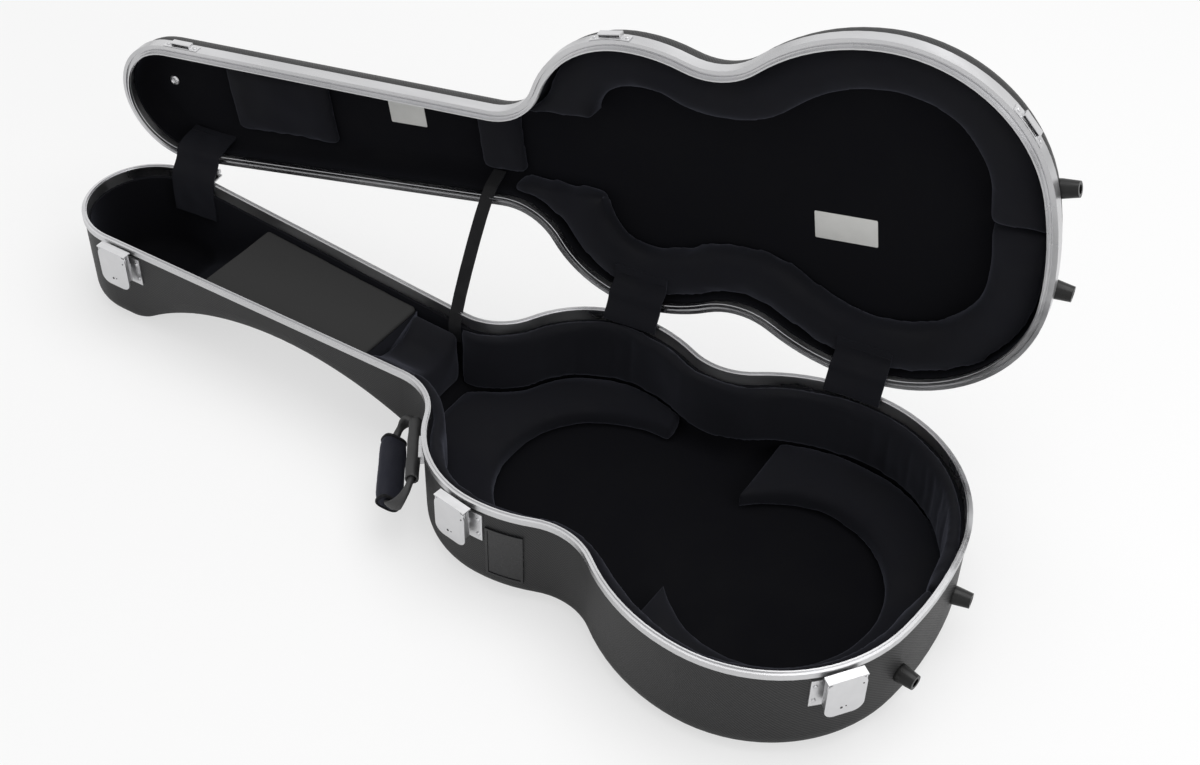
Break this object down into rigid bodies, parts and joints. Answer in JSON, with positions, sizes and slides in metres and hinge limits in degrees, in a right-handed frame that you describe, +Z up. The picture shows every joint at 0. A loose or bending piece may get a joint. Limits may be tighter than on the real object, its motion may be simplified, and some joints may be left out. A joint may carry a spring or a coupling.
{
  "type": "guitar case",
  "caption": "Hard shaped guitar case lying open, with hinged lid, draw latches, carrying handle, feet, padded lining and a lidded accessory box.",
  "frame": {"origin": "on the floor under the widest point of the body, on the centreline, base lying flat", "axes": "+X towards the tail, +Y towards the hinges, +Z up"},
  "size_m": [1.1032, 0.4666, 0.5262],
  "materials": {
    "shell": "dark grey fine twill laminate",
    "rim": "satin anodised",
    "latch": "satin nickel plate",
    "pin": "plain steel",
    "velvet": "short pile velvet",
    "lining": "black pile lining",
    "box_cloth": "black woven cloth",
    "foot": "moulded rubber",
    "badge": "gloss, bare",
    "grip": "padded cloth sleeve",
    "strap": "grey grained strap",
    "webbing": "woven webbing",
    "label": "white woven label, bare"
  },
  "bodies": {
    "base": {"base_shell": "shell", "base_rim": "rim", "base_lining": "lining", "base_side_panel_hinge": "velvet", "base_side_panel_latch": "velvet", "upper_bout_pad": "velvet", "lower_bout_pad": "velvet", "neck_cushion": "velvet", "accessory_box": "velvet", "hinge_base_rivets": "pin", "latch_plate_rivets": "pin", "handle_sleeve": "strap", "handle_bracket": "pin", "badge_frame": "badge", "stay_strap": "webbing", "head_hinge_base_leaf": "rim", "head_hinge_pin": "pin", "head_latch_plate": "latch", "head_hinge_flap": "velvet", "upper_hinge_base_leaf": "rim", "upper_hinge_pin": "pin", "upper_latch_plate": "latch", "upper_hinge_flap": "velvet", "lower_hinge_base_leaf": "rim", "lower_hinge_pin": "pin", "lower_latch_plate": "latch", "lower_hinge_flap": "velvet", "base_foot_hinge_side": "foot", "base_foot_latch_side": "foot"},
    "lid": {"lid_shell": "shell", "lid_rim": "rim", "lid_lining": "lining", "lid_side_pad_hinge": "velvet", "lid_side_pad_latch": "velvet", "lid_neck_pad": "velvet", "lid_head_pad": "velvet", "lid_snap": "latch", "neck_label": "label", "body_label": "label", "hinge_lid_rivets": "pin", "latch_strike_rivets": "pin", "lid_foot_hinge_side": "foot", "lid_foot_latch_side": "foot", "head_hinge_lid_leaf": "rim", "upper_hinge_lid_leaf": "rim", "lower_hinge_lid_leaf": "rim", "head_latch_strike": "latch", "upper_latch_strike": "latch", "lower_latch_strike": "latch"},
    "handle": {"handle_strap": "strap", "handle_grip": "grip"},
    "box_lid": {"accessory_box_lid": "box_cloth"},
    "head_link": {"head_latch_link": "latch"},
    "head_cover": {"head_latch_cover": "latch"},
    "upper_link": {"upper_latch_link": "latch"},
    "upper_cover": {"upper_latch_cover": "latch"},
    "lower_link": {"lower_latch_link": "latch"},
    "lower_cover": {"lower_latch_cover": "latch"}
  },
  "joints": [
    {"name": "lid_hinge", "type": "hinge", "parent": "base", "child": "lid", "pos_m": [-0.27808, 0.16517, 0.123], "axis": [0.9892, 0.1464, 0], "range_deg": [0, 91], "deforming": ["head_hinge_flap", "upper_hinge_flap", "lower_hinge_flap", "stay_strap"]},
    {"name": "head_latch_lever", "type": "hinge", "parent": "base", "child": "head_link", "pos_m": [-0.81187, -0.07591, 0.094], "axis": [-0.9992, -0.0401, 0], "range_deg": [0, 130]},
    {"name": "head_latch_cover_pivot", "type": "hinge", "parent": "head_link", "child": "head_cover", "pos_m": [-0.81171, -0.07971, 0.08584], "axis": [-0.9992, -0.0401, 0], "range_deg": [-130, 0]},
    {"name": "upper_latch_lever", "type": "hinge", "parent": "base", "child": "upper_link", "pos_m": [-0.27439, -0.16294, 0.094], "axis": [-0.9929, 0.1191, 0], "range_deg": [0, 130]},
    {"name": "upper_latch_cover_pivot", "type": "hinge", "parent": "upper_link", "child": "upper_cover", "pos_m": [-0.27485, -0.16672, 0.08584], "axis": [-0.9929, 0.1191, 0], "range_deg": [-130, 0]},
    {"name": "lower_latch_lever", "type": "hinge", "parent": "base", "child": "lower_link", "pos_m": [0.13569, -0.13139, 0.094], "axis": [-0.5805, -0.8143, 0], "range_deg": [0, 130]},
    {"name": "lower_latch_cover_pivot", "type": "hinge", "parent": "lower_link", "child": "lower_cover", "pos_m": [0.13878, -0.1336, 0.08584], "axis": [-0.5805, -0.8143, 0], "range_deg": [-130, 0]},
    {"name": "handle_pivot", "type": "hinge", "parent": "base", "child": "handle", "pos_m": [-0.36379, -0.11567, 0.086], "axis": [-0.5736, 0.8192, 0], "range_deg": [0, 65]},
    {"name": "box_lid_hinge", "type": "hinge", "parent": "base", "child": "box_lid", "pos_m": [-0.59945, 0.05277, 0.0978], "axis": [0.9992, -0.0401, 0], "range_deg": [-90, 0]}
  ],
  "couplings": [
    {"joint": "head_latch_cover_pivot", "follows": "head_latch_lever", "ratio": -1},
    {"joint": "upper_latch_cover_pivot", "follows": "upper_latch_lever", "ratio": -1},
    {"joint": "lower_latch_cover_pivot", "follows": "lower_latch_lever", "ratio": -1}
  ]
}
